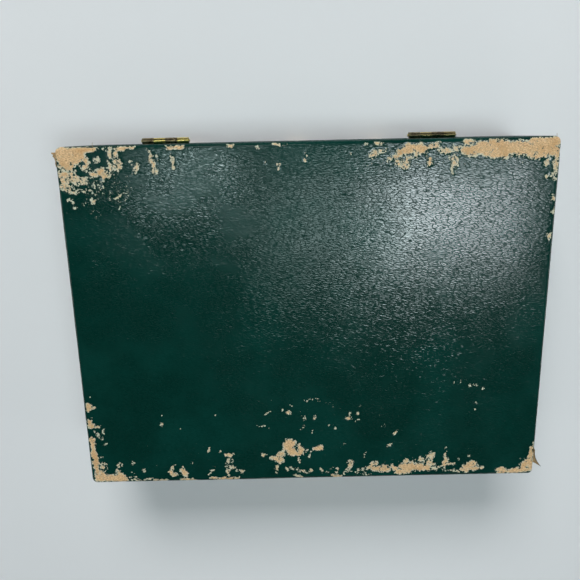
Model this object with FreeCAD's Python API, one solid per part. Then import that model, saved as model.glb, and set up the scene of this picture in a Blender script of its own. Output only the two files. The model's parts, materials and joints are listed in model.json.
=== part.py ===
import FreeCAD, Part
import os

# Cash box, closed, standing on its underside. Millimetres, +Z up.
# Origin: centre of the underside. Front (lock) towards -Y, hinges towards +Y.

V = FreeCAD.Vector

# ---- driving dimensions ----
WIDTH = 254.0
DEPTH = 189.0
HEIGHT = 64.0
LID_HEIGHT = 24.0
RIM_GAP = 0.6
CORNER_RADIUS = 3.0
EDGE_RADIUS = 1.6

COVER = 0.6
LINING = 0.4
WALL = 7.0
PANEL = 4.0
FLOOR_FELT = 0.8

HINGE_CENTRES = {"left": -75.5, "right": 67.25}
HINGE_LENGTH = 25.0
LEAF_THICKNESS = 0.8
LEAF_REACH = 5.0
LEAF_GAP = 0.1
LEAF_INSET = 0.15
LEAF_ARM = 0.5
BARREL_RADIUS = 1.6
BARREL_CLEARANCE = 0.1
PIN_RADIUS = 0.8
PIN_OVERHANG = 0.5
PIN_END_RADIUS = 0.35
RUNNING_FIT = 0.05
KNUCKLES = 4
KNUCKLE_GAP = 0.2
RECESS_FIT = 0.1
HINGE_NAIL_SPACING = 15.0
HINGE_NAIL_SETBACK = 2.9
HINGE_NAIL_LENGTH = 7.0
HINGE_NAIL_RADIUS = 0.5
HINGE_NAIL_HEAD_RADIUS = 1.1
HINGE_NAIL_HEAD_HEIGHT = 0.35

LOCK_WIDTH = 28.0
LOCK_EAR = 6.0
LOCK_BOTTOM = 11.5
LOCK_TOP = 37.0
LOCK_DEPTH = 7.2
LOCK_CORNER = 2.5
LOCK_EDGE_RADIUS = 1.4
LOCK_NAIL_INSET = 5.0
BRASS = 0.8
PLUG_HEIGHT = 19.0
PLUG_RADIUS = 4.4
PLUG_PROUD = 0.6
PLUG_EDGE_RADIUS = 0.4
PLUG_BACK_GAP = 0.8
PLUG_FLANGE_RADIUS = 5.2
PLUG_FLANGE_THICKNESS = 1.0
KEYHOLE_RADIUS = 1.2
KEYHOLE_RISE = 1.2
KEYHOLE_DROP = 2.9
KEYHOLE_SLOT = 1.1
KEYHOLE_DEPTH = 3.0
CAM_OFFSET = 2.69
CAM_RADIUS = 0.9
CAM_ROOT = 0.5
CAM_END_GAP = 0.4
CAM_SIDE_PLAY = 0.2
CAM_END_PLAY = 0.3
BOLT_TRAVEL = 3.8
BOLT_THICKNESS = 1.6
BOLT_LEFT = -12.4
BOLT_TIP = -4.6
BOLT_LOW = 29.0
BOLT_HIGH = 33.0
BOLT_PLAY = 0.1
BOLT_BACK_GAP = 1.9
BOLT_LEG_WIDTH = 3.0
BOLT_FOOT_RIGHT = 0.2
BOLT_FOOT_LOW = PLUG_HEIGHT - 2.0
GUIDE_SPAN = (-9.0, -5.2)
RAIL_SPAN = (-10.0, 2.0)
GUIDE_THICKNESS = 1.4
GUIDE_LIP = 0.6
TONGUE_WIDTH = 8.0
TONGUE_THICKNESS = 1.2
TONGUE_TIP = 26.0
TONGUE_BACK_GAP = 0.2
TONGUE_SIDE_PLAY = 0.6
TONGUE_FRONT_PLAY = 1.0
TONGUE_BACK_PLAY = 0.4
TONGUE_NOTCH_RIGHT = -0.4
TONGUE_NOTCH_PLAY = 0.5
BOLT_FOOT_HIGH = TONGUE_TIP - 0.9
HASP_WIDTH = 26.0
HASP_BOTTOM = 42.0
HASP_TOP = 57.0
HASP_CORNER = 3.0
HASP_SHELF = 1.4
HASP_NAIL_X = 9.0
HASP_NAIL_Z = 50.0

LEDGE_THICKNESS = 4.0
LEDGE_HEIGHT = 12.6
TRAY_CLEARANCE = 0.8
TRAY_REST_GAP = 0.1
TRAY_HEIGHT = 19.0
TRAY_WALL = 3.0
TRAY_FLOOR = 2.0
TRAY_DIVIDER = 2.0
TRAY_DIVIDER_HEIGHT = 15.0
TRAY_FELT = 0.6
TRAY_LONG_DIVIDER_Y = -10.0
TRAY_NOTE_DIVIDER_X = 45.0
COIN_CUPS = 5
FINGER_NOTCH_RADIUS = 10.0
BOARD_EDGE_RADIUS = 0.5

NAIL_RADIUS = 0.6
NAIL_FIT = 0.02
NAIL_HEAD_RADIUS = 1.5
NAIL_HEAD_HEIGHT = 0.8
FRONT_NAIL_LENGTH = 6.5

# how far a cutting tool runs past what it cuts, and how close two lengths are to be equal
PAST = 1.0
TINY = 1e-3

# ---- places worked out from the driving dimensions ----
FRONT = -DEPTH / 2
REAR = DEPTH / 2
SEAM = HEIGHT - LID_HEIGHT
BASE_RIM = SEAM - RIM_GAP / 2
LID_RIM = SEAM + RIM_GAP / 2
CARCASS_X = WIDTH / 2 - COVER
CARCASS_Y = DEPTH / 2 - COVER
INSIDE_X = CARCASS_X - WALL
INSIDE_Y = CARCASS_Y - WALL
ROOM_X = INSIDE_X - LINING
ROOM_Y = INSIDE_Y - LINING
BASE_FLOOR = COVER + PANEL
LID_CEILING = HEIGHT - COVER - PANEL
AXIS_Y = REAR + BARREL_RADIUS + BARREL_CLEARANCE
PLATE_FACE = FRONT - BRASS
CASE_FACE = PLATE_FACE - LOCK_DEPTH
BOLT_FACE = PLATE_FACE - BOLT_BACK_GAP
TONGUE_FACE = BOLT_FACE - TONGUE_BACK_GAP
FELT_TOP = BASE_FLOOR + FLOOR_FELT
LEDGE_TOP = FELT_TOP + LEDGE_HEIGHT
TRAY_BOTTOM = LEDGE_TOP + TRAY_REST_GAP
TRAY_TOP = TRAY_BOTTOM + TRAY_HEIGHT
TRAY_X = ROOM_X - TRAY_CLEARANCE
TRAY_Y = ROOM_Y - TRAY_CLEARANCE


# ---- shape helpers ----
def block(x, y, z):
    """A box between pairs of limits."""
    return Part.makeBox(x[1] - x[0], y[1] - y[0], z[1] - z[0], V(x[0], y[0], z[0]))


def rod(radius, start, end):
    """A round rod between two points."""
    along = end.sub(start)
    return Part.makeCylinder(radius, along.Length, start, along)


def edges_where(shape, test):
    return [edge for edge in shape.Edges if test(edge)]


def is_vertical(edge):
    box = edge.BoundBox
    return box.ZLength > TINY and box.XLength < TINY and box.YLength < TINY


def runs_front_to_back(edge):
    box = edge.BoundBox
    return box.YLength > TINY and box.XLength < TINY and box.ZLength < TINY


def lies_at_height(z):
    return lambda edge: abs(edge.BoundBox.ZMin - z) < TINY and abs(edge.BoundBox.ZMax - z) < TINY


def lies_in_front_of(y):
    return lambda edge: edge.BoundBox.YMax < y


def rounded_block(half_x, half_y, z, corner, soft_height=None, soft_radius=None):
    """A box with round vertical edges and, at soft_height, a round rim."""
    shape = block((-half_x, half_x), (-half_y, half_y), z)
    shape = shape.makeFillet(corner, edges_where(shape, is_vertical))
    if soft_height is not None:
        shape = shape.makeFillet(soft_radius, edges_where(shape, lies_at_height(soft_height)))
    return shape


def board(x, y, z):
    """A thin upright board with its top edges rubbed round."""
    shape = block(x, y, z)
    return shape.makeFillet(BOARD_EDGE_RADIUS, edges_where(shape, lies_at_height(z[1])))


def lens_head(radius, height, centre, direction):
    """A low domed head that starts flat at centre and rises along a unit direction."""
    sphere_radius = (radius ** 2 + height ** 2) / (2 * height)
    ball = Part.makeSphere(sphere_radius, centre.add(direction * (height - sphere_radius)))
    return ball.common(Part.makeCylinder(radius, height, centre, direction))


def joined(shapes):
    """One solid from shapes that touch or overlap."""
    whole = shapes[0]
    for shape in shapes[1:]:
        whole = whole.fuse(shape)
    return whole.removeSplitter()


def group(shapes):
    """Separate solids kept in one node."""
    return Part.Compound(shapes)


def cut_all(shape, tools):
    for tool in tools:
        shape = shape.cut(tool)
    return shape


def save(name, shape):
    if not shape.isValid():
        raise RuntimeError(name + " is not a valid shape")
    shape.exportStep("parts/" + name + ".step")


# ---- hinges ----
def knuckle_spans(centre):
    """The start and end along X of each knuckle."""
    pitch = HINGE_LENGTH / KNUCKLES
    start = centre - HINGE_LENGTH / 2
    half_gap = KNUCKLE_GAP / 2
    return [(start + i * pitch + half_gap, start + (i + 1) * pitch - half_gap) for i in range(KNUCKLES)]


def hinge_nail_places(centre):
    y = REAR - HINGE_NAIL_SETBACK
    return [V(centre + side * HINGE_NAIL_SPACING / 2, y, 0) for side in (-1, 1)]


def leaf_levels(upper):
    if upper:
        return (SEAM + LEAF_GAP, SEAM + LEAF_GAP + LEAF_THICKNESS)
    return (SEAM - LEAF_GAP - LEAF_THICKNESS, SEAM - LEAF_GAP)


def hinge_leaf(centre, upper):
    """A let-in leaf with every other knuckle: the lid's has the first and third."""
    levels = leaf_levels(upper)
    ends = (centre - HINGE_LENGTH / 2, centre + HINGE_LENGTH / 2)
    parts = [block(ends, (REAR - LEAF_REACH, REAR - LEAF_INSET), levels)]
    first = 0 if upper else 1
    for span in knuckle_spans(centre)[first::2]:
        parts.append(block(span, (REAR - LEAF_ARM, AXIS_Y), levels))
        parts.append(rod(BARREL_RADIUS, V(span[0], AXIS_Y, SEAM), V(span[1], AXIS_Y, SEAM)))
    leaf = joined(parts)
    bore_ends = [V(ends[0] - PAST, AXIS_Y, SEAM), V(ends[1] + PAST, AXIS_Y, SEAM)]
    leaf = leaf.cut(rod(PIN_RADIUS + RUNNING_FIT, *bore_ends))
    return cut_all(leaf, [hinge_nail_hole(place, upper) for place in hinge_nail_places(centre)])


def hinge_pin(centre):
    half = HINGE_LENGTH / 2 + PIN_OVERHANG
    pin = rod(PIN_RADIUS, V(centre - half, AXIS_Y, SEAM), V(centre + half, AXIS_Y, SEAM))
    return pin.makeFillet(PIN_END_RADIUS, edges_where(pin, lambda edge: edge.BoundBox.XLength < TINY))


def hinge_nail(place, upper, fit=0.0):
    """A flush-headed nail through a leaf into the rim: the head lies inside the leaf."""
    way = 1 if upper else -1
    outside = SEAM + way * LEAF_GAP
    start = V(place.x, place.y, outside)
    neck = V(place.x, place.y, outside + way * HINGE_NAIL_HEAD_HEIGHT)
    tip = V(place.x, place.y, outside + way * HINGE_NAIL_LENGTH)
    return joined([rod(HINGE_NAIL_HEAD_RADIUS + fit, start, neck), rod(HINGE_NAIL_RADIUS + fit, start, tip)])


def hinge_nail_hole(place, upper):
    return hinge_nail(place, upper, NAIL_FIT)


def hinge_nails(upper):
    places = [place for centre in HINGE_CENTRES.values() for place in hinge_nail_places(centre)]
    return [hinge_nail(place, upper) for place in places]


def hinge_recesses(upper):
    """What the leaves and their nails take out of a rim and its covering."""
    low, high = leaf_levels(upper)
    tools = []
    for centre in HINGE_CENTRES.values():
        half = HINGE_LENGTH / 2 + RECESS_FIT
        levels = (SEAM - PAST, high) if upper else (low, SEAM + PAST)
        depths = (REAR - LEAF_REACH - RECESS_FIT, REAR + PAST)
        tools.append(block((centre - half, centre + half), depths, levels))
        tools += [hinge_nail_hole(place, upper) for place in hinge_nail_places(centre)]
    return tools


# ---- front hardware places ----
def lock_nail_places():
    x = LOCK_WIDTH / 2 + LOCK_EAR / 2
    heights = (LOCK_BOTTOM + LOCK_NAIL_INSET, LOCK_TOP - LOCK_NAIL_INSET)
    return [V(side * x, PLATE_FACE - BRASS, z) for side in (-1, 1) for z in heights]


def hasp_nail_places():
    return [V(side * HASP_NAIL_X, PLATE_FACE, HASP_NAIL_Z) for side in (-1, 1)]


def front_nail(place):
    """A domed nail driven in from the front at place."""
    shank = rod(NAIL_RADIUS, place, place.add(V(0, FRONT_NAIL_LENGTH, 0)))
    return joined([shank, lens_head(NAIL_HEAD_RADIUS, NAIL_HEAD_HEIGHT, place, V(0, -1, 0))])


def front_nail_hole(place):
    start = place.sub(V(0, PAST, 0))
    return rod(NAIL_RADIUS + NAIL_FIT, start, place.add(V(0, FRONT_NAIL_LENGTH + NAIL_FIT, 0)))


def rounded_plate(x, y, z, radius):
    """A plate that faces the front, with round corners."""
    plate = block(x, y, z)
    return plate.makeFillet(radius, edges_where(plate, runs_front_to_back))


# ---- carcass ----
def outer_block(upper):
    """The outside of the lid or the base, covering included."""
    half_x, half_y = WIDTH / 2, DEPTH / 2
    if upper:
        return rounded_block(half_x, half_y, (LID_RIM, HEIGHT), CORNER_RADIUS, HEIGHT, EDGE_RADIUS)
    return rounded_block(half_x, half_y, (0, BASE_RIM), CORNER_RADIUS, 0, EDGE_RADIUS)


def carcass_block(upper):
    """The outside of the bare wood under the covering."""
    corner = CORNER_RADIUS - COVER
    edge = EDGE_RADIUS - COVER
    if upper:
        top = HEIGHT - COVER
        return rounded_block(CARCASS_X, CARCASS_Y, (LID_RIM, top), corner, top, edge)
    return rounded_block(CARCASS_X, CARCASS_Y, (COVER, BASE_RIM), corner, COVER, edge)


def four_walls(levels, body_block, cuts):
    """Front and back run the full width; left and right stand between them."""
    places = {
        "front": ((-CARCASS_X, CARCASS_X), (-CARCASS_Y, -INSIDE_Y)),
        "back": ((-CARCASS_X, CARCASS_X), (INSIDE_Y, CARCASS_Y)),
        "left": ((-CARCASS_X, -INSIDE_X), (-INSIDE_Y, INSIDE_Y)),
        "right": ((INSIDE_X, CARCASS_X), (-INSIDE_Y, INSIDE_Y)),
    }
    return {side: cut_all(block(x, y, levels).common(body_block), cuts) for side, (x, y) in places.items()}


def make_base():
    body = carcass_block(False)
    cuts = hinge_recesses(False) + [front_nail_hole(place) for place in lock_nail_places()]
    for side, wall in four_walls((BASE_FLOOR, BASE_RIM), body, cuts).items():
        save("base_" + side + "_wall", wall)

    full = ((-CARCASS_X, CARCASS_X), (-CARCASS_Y, CARCASS_Y))
    save("base_bottom_panel", block(*full, (COVER, BASE_FLOOR)).common(body))

    skin = outer_block(False).cut(body)
    everywhere = ((-WIDTH, WIDTH), (-DEPTH, DEPTH))
    save("base_underside_covering", skin.common(block(*everywhere, (0, COVER))))
    save("base_covering", cut_all(skin.common(block(*everywhere, (COVER, BASE_RIM))), cuts))

    save("base_floor_lining", block((-INSIDE_X, INSIDE_X), (-INSIDE_Y, INSIDE_Y), (BASE_FLOOR, FELT_TOP)))
    ring = block((-INSIDE_X, INSIDE_X), (-INSIDE_Y, INSIDE_Y), (FELT_TOP, BASE_RIM))
    save("base_wall_lining", ring.cut(block((-ROOM_X, ROOM_X), (-ROOM_Y, ROOM_Y), (0, HEIGHT))))

    for side, way in (("left", -1), ("right", 1)):
        ends = sorted((way * ROOM_X, way * (ROOM_X - LEDGE_THICKNESS)))
        save("tray_ledge_" + side, block(ends, (-ROOM_Y, ROOM_Y), (FELT_TOP, LEDGE_TOP)))


def make_lid():
    body = carcass_block(True)
    cuts = hinge_recesses(True) + [front_nail_hole(place) for place in hasp_nail_places()]
    for side, rail in four_walls((LID_RIM, LID_CEILING), body, cuts).items():
        save("lid_" + side + "_rail", rail)

    full = ((-CARCASS_X, CARCASS_X), (-CARCASS_Y, CARCASS_Y))
    save("lid_top_panel", block(*full, (LID_CEILING, HEIGHT - COVER)).common(body))
    save("lid_covering", cut_all(outer_block(True).cut(body), cuts))

    shell = block((-INSIDE_X, INSIDE_X), (-INSIDE_Y, INSIDE_Y), (LID_RIM, LID_CEILING))
    room = block((-ROOM_X, ROOM_X), (-ROOM_Y, ROOM_Y), (0, LID_CEILING - LINING))
    save("lid_lining", shell.cut(room))


def make_hinges():
    for side, centre in HINGE_CENTRES.items():
        save("hinge_leaf_lid_" + side, hinge_leaf(centre, True))
        save("hinge_leaf_base_" + side, hinge_leaf(centre, False))
        save("hinge_pin_" + side, hinge_pin(centre))
    save("hinge_nails_lid", group(hinge_nails(True)))
    save("hinge_nails_base", group(hinge_nails(False)))


# ---- lock ----
def make_lock_back_plate():
    half = LOCK_WIDTH / 2 + LOCK_EAR
    plate = rounded_plate((-half, half), (PLATE_FACE, FRONT), (LOCK_BOTTOM, LOCK_TOP), LOCK_CORNER)
    guide_y = (BOLT_FACE - BOLT_THICKNESS - GUIDE_LIP, FRONT)
    guide_z = BOLT_HIGH + BOLT_PLAY
    rail_z = BOLT_FOOT_LOW - BOLT_PLAY
    top_guide = block(GUIDE_SPAN, guide_y, (guide_z, guide_z + GUIDE_THICKNESS))
    bottom_rail = block(RAIL_SPAN, guide_y, (rail_z - GUIDE_THICKNESS, rail_z))
    standoff = block(GUIDE_SPAN, (BOLT_FACE + BOLT_PLAY, FRONT), (BOLT_LOW, guide_z))
    plate = joined([plate, top_guide, bottom_rail, standoff])
    return cut_all(plate, [front_nail_hole(place) for place in lock_nail_places()])


def make_lock_case():
    half = LOCK_WIDTH / 2
    body = block((-half, half), (CASE_FACE, PLATE_FACE), (LOCK_BOTTOM, LOCK_TOP))
    body = body.makeFillet(LOCK_EDGE_RADIUS, edges_where(body, lies_in_front_of(CASE_FACE + TINY)))
    ears_x = (-half - LOCK_EAR, half + LOCK_EAR)
    ears = rounded_plate(ears_x, (PLATE_FACE - BRASS, PLATE_FACE), (LOCK_BOTTOM, LOCK_TOP), LOCK_CORNER)
    case = joined([body, ears])
    room_z = (LOCK_BOTTOM + BRASS, LOCK_TOP - BRASS)
    room = block((-half + BRASS, half - BRASS), (CASE_FACE + BRASS, FRONT), room_z)
    slot_x = TONGUE_WIDTH / 2 + TONGUE_SIDE_PLAY
    slot_y = (TONGUE_FACE - TONGUE_THICKNESS - TONGUE_FRONT_PLAY, TONGUE_FACE + TONGUE_BACK_PLAY)
    slot = block((-slot_x, slot_x), slot_y, (LOCK_TOP - BRASS - PAST, LOCK_TOP + PAST))
    bore_ends = [V(0, CASE_FACE - PAST, PLUG_HEIGHT), V(0, CASE_FACE + BRASS + PAST, PLUG_HEIGHT)]
    case = cut_all(case, [room, slot, rod(PLUG_RADIUS + RUNNING_FIT, *bore_ends)])
    return cut_all(case, [front_nail_hole(place) for place in lock_nail_places()])


def make_lock_plug():
    """Plug with a keyhole, a flange behind the case front and an eccentric cam pin."""
    def along(radius, start, end, x=0.0, z=PLUG_HEIGHT):
        return rod(radius, V(x, start, z), V(x, end, z))
    back = BOLT_FACE - BOLT_THICKNESS - PLUG_BACK_GAP
    inside = CASE_FACE + BRASS + RUNNING_FIT
    face = CASE_FACE - PLUG_PROUD
    plug = along(PLUG_RADIUS, face, back)
    plug = plug.makeFillet(PLUG_EDGE_RADIUS, edges_where(plug, lies_in_front_of(face + TINY)))
    flange = along(PLUG_FLANGE_RADIUS, inside, inside + PLUG_FLANGE_THICKNESS)
    start = BOLT_TRAVEL / 2
    pin_z = PLUG_HEIGHT + (CAM_OFFSET ** 2 - start ** 2) ** 0.5
    pin = along(CAM_RADIUS, back - CAM_ROOT, PLATE_FACE - CAM_END_GAP, -start, pin_z)
    plug = joined([plug, flange, pin])
    key_y = (face - PAST, CASE_FACE + KEYHOLE_DEPTH)
    key_top = PLUG_HEIGHT + KEYHOLE_RISE
    key_round = along(KEYHOLE_RADIUS, *key_y, 0.0, key_top)
    key_slot = block((-KEYHOLE_SLOT / 2, KEYHOLE_SLOT / 2), key_y, (PLUG_HEIGHT - KEYHOLE_DROP, key_top))
    return cut_all(plug, [key_round, key_slot])


def make_lock_bolt():
    """A bar that throws to the right, with a foot slotted for the cam pin."""
    faces = (BOLT_FACE - BOLT_THICKNESS, BOLT_FACE)
    bar = block((BOLT_LEFT, BOLT_TIP), faces, (BOLT_LOW, BOLT_HIGH))
    leg = block((BOLT_LEFT, BOLT_LEFT + BOLT_LEG_WIDTH), faces, (BOLT_FOOT_LOW, BOLT_LOW + PAST))
    foot = block((BOLT_LEFT, BOLT_FOOT_RIGHT), faces, (BOLT_FOOT_LOW, BOLT_FOOT_HIGH))
    start = BOLT_TRAVEL / 2
    half_slot = CAM_RADIUS + CAM_SIDE_PLAY
    slot_x = (-start - half_slot, -start + half_slot)
    slot_low = PLUG_HEIGHT + start - CAM_RADIUS - CAM_END_PLAY
    slot_high = PLUG_HEIGHT + CAM_OFFSET + CAM_RADIUS + CAM_END_PLAY
    slot = block(slot_x, (faces[0] - PAST, faces[1] + PAST), (slot_low, slot_high))
    return joined([bar, leg, foot]).cut(slot)


def make_lid_hasp():
    """A plate on the lid's front whose hooked tongue drops into the lock case."""
    half = TONGUE_WIDTH / 2
    tongue_y = (TONGUE_FACE - TONGUE_THICKNESS, TONGUE_FACE)
    plate_x = (-HASP_WIDTH / 2, HASP_WIDTH / 2)
    plate = rounded_plate(plate_x, (PLATE_FACE, FRONT), (HASP_BOTTOM, HASP_TOP), HASP_CORNER)
    shelf = block((-half, half), (tongue_y[0], FRONT), (HASP_BOTTOM, HASP_BOTTOM + HASP_SHELF))
    tongue = block((-half, half), tongue_y, (TONGUE_TIP, HASP_BOTTOM + HASP_SHELF))
    notch_z = (BOLT_LOW - TONGUE_NOTCH_PLAY, BOLT_HIGH + TONGUE_NOTCH_PLAY)
    notch_y = (tongue_y[0] - PAST, tongue_y[1] + PAST)
    notch = block((-half - PAST, TONGUE_NOTCH_RIGHT), notch_y, notch_z)
    hasp = joined([plate, shelf, tongue.cut(notch)])
    return cut_all(hasp, [front_nail_hole(place) for place in hasp_nail_places()])


def make_lock():
    save("lock_back_plate", make_lock_back_plate())
    save("lock_case", make_lock_case())
    save("lock_plug", make_lock_plug())
    save("lock_bolt", make_lock_bolt())
    save("lid_hasp", make_lid_hasp())
    save("lock_nails", group([front_nail(place) for place in lock_nail_places()]))
    save("hasp_nails", group([front_nail(place) for place in hasp_nail_places()]))


# ---- coin tray ----
def make_tray():
    floor_top = TRAY_BOTTOM + TRAY_FLOOR
    wall_z = (floor_top, TRAY_TOP)
    divider_z = (floor_top, floor_top + TRAY_DIVIDER_HEIGHT)
    inner_x, inner_y = TRAY_X - TRAY_WALL, TRAY_Y - TRAY_WALL
    save("tray_floor", block((-TRAY_X, TRAY_X), (-TRAY_Y, TRAY_Y), (TRAY_BOTTOM, floor_top)))
    save("tray_front_wall", board((-TRAY_X, TRAY_X), (-TRAY_Y, -inner_y), wall_z))
    save("tray_back_wall", board((-TRAY_X, TRAY_X), (inner_y, TRAY_Y), wall_z))
    notch = rod(FINGER_NOTCH_RADIUS, V(-WIDTH, 0, TRAY_TOP), V(WIDTH, 0, TRAY_TOP))
    save("tray_left_wall", board((-TRAY_X, -inner_x), (-inner_y, inner_y), wall_z).cut(notch))
    save("tray_right_wall", board((inner_x, TRAY_X), (-inner_y, inner_y), wall_z).cut(notch))

    half = TRAY_DIVIDER / 2
    long_y = (TRAY_LONG_DIVIDER_Y - half, TRAY_LONG_DIVIDER_Y + half)
    save("tray_long_divider", board((-inner_x, inner_x), long_y, divider_z))

    cup_pitch = (2 * inner_x + TRAY_DIVIDER) / COIN_CUPS
    centres = [-inner_x - half + cup_pitch * i for i in range(1, COIN_CUPS)]
    front_y = (-inner_y, long_y[0])
    back_y = (long_y[1], inner_y)
    save("tray_coin_dividers", group([board((x - half, x + half), front_y, divider_z) for x in centres]))
    note_x = (TRAY_NOTE_DIVIDER_X - half, TRAY_NOTE_DIVIDER_X + half)
    save("tray_note_divider", board(note_x, back_y, divider_z))

    felt_z = (floor_top, floor_top + TRAY_FELT)
    starts = [-inner_x] + [x + half for x in centres]
    ends = [x - half for x in centres] + [inner_x]
    sheets = [block((start, end), front_y, felt_z) for start, end in zip(starts, ends)]
    sheets.append(block((-inner_x, note_x[0]), back_y, felt_z))
    sheets.append(block((note_x[1], inner_x), back_y, felt_z))
    save("tray_felt", group(sheets))


make_base()
make_lid()
make_hinges()
make_lock()
make_tray()
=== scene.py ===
"""The looks of a worn, leatherette-covered cash box, built round its CAD frame.

Metres, in the frame's own axes: +Z up, lock towards -Y, hinges towards +Y. The origin is the centre of the
underside.
"""
import json
import math

import bmesh
import bpy
import numpy as np
from mathutils import Euler, Matrix, Vector


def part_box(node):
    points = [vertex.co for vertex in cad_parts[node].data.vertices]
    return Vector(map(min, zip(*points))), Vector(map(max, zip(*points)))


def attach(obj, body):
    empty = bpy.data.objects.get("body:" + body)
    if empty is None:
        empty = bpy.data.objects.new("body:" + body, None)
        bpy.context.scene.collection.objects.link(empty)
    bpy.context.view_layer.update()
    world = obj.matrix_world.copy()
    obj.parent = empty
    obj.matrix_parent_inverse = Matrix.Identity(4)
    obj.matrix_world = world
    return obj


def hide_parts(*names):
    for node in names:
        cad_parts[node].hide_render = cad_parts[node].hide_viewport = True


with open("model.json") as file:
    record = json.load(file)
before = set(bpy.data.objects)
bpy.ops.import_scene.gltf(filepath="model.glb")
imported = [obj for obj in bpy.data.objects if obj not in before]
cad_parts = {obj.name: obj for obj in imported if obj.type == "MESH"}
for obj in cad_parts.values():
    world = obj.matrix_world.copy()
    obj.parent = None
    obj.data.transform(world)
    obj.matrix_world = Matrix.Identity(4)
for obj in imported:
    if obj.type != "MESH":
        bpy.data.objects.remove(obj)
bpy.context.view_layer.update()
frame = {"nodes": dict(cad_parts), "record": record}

MM = 0.001

# The covering: its corner and edge radii, its thickness and the radius of its rim.
CORNER = 3.0 * MM
EDGE = 1.6 * MM
CLOTH = 0.6 * MM
CLOTH_EDGE = 0.25 * MM
# The spacing of its mesh. From front to rear the lid's is fine in two bands and coarse between them.
FINE_STEP = 0.65 * MM
COARSE_STEP = 2.2 * MM
SIDE_STEP = 1.7 * MM
UNDER_STEP = 1.1 * MM
REAR_BAND = 32.0 * MM
FRONT_BAND = 50.0 * MM
# Its unevenness: how deep the bare patches lie, how rough they are, and how much the whole sheet swells.
SCUFF_DEPTH = 0.16 * MM
FRAY_HEIGHT, FRAY_PITCH = 0.16 * MM, 2.2 * MM
SWELL_HEIGHT, SWELL_PITCH = 0.25 * MM, 45 * MM
# Edge wear is worked out on boxes that run this far past the rims, so that a rim isn't a worn edge.
RIM_MARGIN = 20 * MM

LID_LOW, LID_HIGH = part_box("lid_covering")
BASE_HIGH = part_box("base_covering")[1]
HALF_X = LID_HIGH.x
HALF_Y = LID_HIGH.y
TOP_Z = LID_HIGH.z
FLOOR_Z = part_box("base_underside_covering")[0].z


# ---------------------------------------------------------------- noise and fields
def lattice_noise(points, pitch, seed):
    """Smooth noise from 0 to 1 at an array of points, with cells pitch wide."""
    cell = np.floor(points / pitch)
    part = points / pitch - cell
    part = part * part * (3 - 2 * part)
    total = np.zeros(len(points))
    for corner in range(8):
        offset = np.array([corner & 1, corner >> 1 & 1, corner >> 2 & 1])
        at = (cell + offset).astype(np.int64)
        # Large odd factors scramble each lattice corner into a value of its own.
        mixed = at[:, 0] * 374761393 + at[:, 1] * 668265263 + at[:, 2] * 2147483647 + seed * 974634777
        mixed = (mixed ^ (mixed >> 13)) * 1274126177 & 0xFFFFFFFF
        mixed = (mixed ^ (mixed >> 16)) & 0xFFFF
        weight = np.prod(np.where(offset == 1, part, 1 - part), axis=1)
        total += weight * mixed / 65535.0
    return total


def layered_noise(points, pitch, seed, layers=3):
    """Several octaves of lattice_noise, still from 0 to 1."""
    total, share = np.zeros(len(points)), 0.0
    for layer in range(layers):
        weight = 0.5 ** layer
        total += weight * lattice_noise(points, pitch * weight, seed + layer)
        share += weight
    return total / share


def ramp(low, high, value):
    t = np.clip((value - low) / (high - low), 0, 1)
    return t * t * (3 - 2 * t)


# Where the covering is worn through on the lid's face, in millimetres from its centre: strokes from one point
# to another, with a half width and how much is gone: over 1 all of it, 0.7 most, 0.45 only the coating.
REAR_LEFT_WEAR = [
    (-124, 90, -118, 91, 4.4, 1.3), (-126, 93, -110, 94, 2.3, 1.3), (-125, 86, -122, 86, 2.4, 1.1),
    (-126, 80, -121, 80, 3.0, 1.0), (-119, 78, -115, 78, 1.7, 0.9), (-126, 76, -123, 74, 2.2, 1.0),
    (-122, 72, -117, 73, 0.7, 0.8), (-117, 73, -112, 73, 0.5, 0.8), (-112, 73, -111, 71, 0.5, 0.7),
    (-124, 69, -122, 67, 1.0, 0.5), (-122, 65, -120, 64, 0.6, 0.55), (-112, 68, -112, 67, 1.0, 0.95),
    (-114, 89, -113, 86, 1.5, 1.1), (-109, 88, -107, 88, 0.9, 0.8), (-116, 86, -113, 82, 0.5, 0.8),
    (-111, 81, -107, 81, 1.2, 1.1), (-107, 82, -103, 81, 2.0, 1.1), (-105, 79, -102, 80, 1.2, 1.0),
    (-102, 84, -98, 84, 1.5, 0.85), (-102, 88, -101, 85, 0.8, 0.85), (-98, 91, -97, 85, 1.5, 1.0),
    (-101, 94, -101, 90, 1.1, 0.9), (-97, 93, -89, 94, 1.5, 1.2), (-107, 94, -102, 94, 0.6, 0.7),
    (-111, 77, -110, 75, 0.7, 0.7), (-108, 76, -107, 74, 0.5, 0.7), (-106, 77, -105, 75, 0.6, 0.7),
    (-91, 87, -90, 86, 1.0, 0.6), (-88, 86, -89, 81, 1.0, 0.95), (-80, 89, -79, 82, 1.2, 0.95),
    (-81, 93, -80, 90, 0.5, 0.65), (-77, 90, -77, 87, 0.4, 0.65), (-70, 89, -69, 84, 0.9, 0.95),
    (-71, 94, -64, 94, 0.9, 1.2), (-100, 69, -98, 69, 1.2, 1.0), (-103, 69, -101, 69, 0.4, 0.65),
    (-98, 63, -98, 64, 0.5, 0.6), (-115, 66, -110, 60, 3.0, 0.22),
]
REAR_MIDDLE_WEAR = [
    (-41, 94, -38, 94, 0.6, 1.0), (-27, 93, -26, 92, 0.7, 0.9), (-17, 94, -15, 94, 0.9, 1.1),
    (-12, 93, -11, 93, 0.5, 0.9), (-22, 86, -22, 84, 0.4, 0.7), (-16, 84, -16, 82, 0.5, 0.95),
    (-3, 87, -3, 85, 0.5, 0.9), (-2, 90, -2, 88, 0.35, 0.7), (21, 89, 21, 88, 0.4, 0.7),
    (28, 94, 30, 93, 0.5, 0.7),
]
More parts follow.
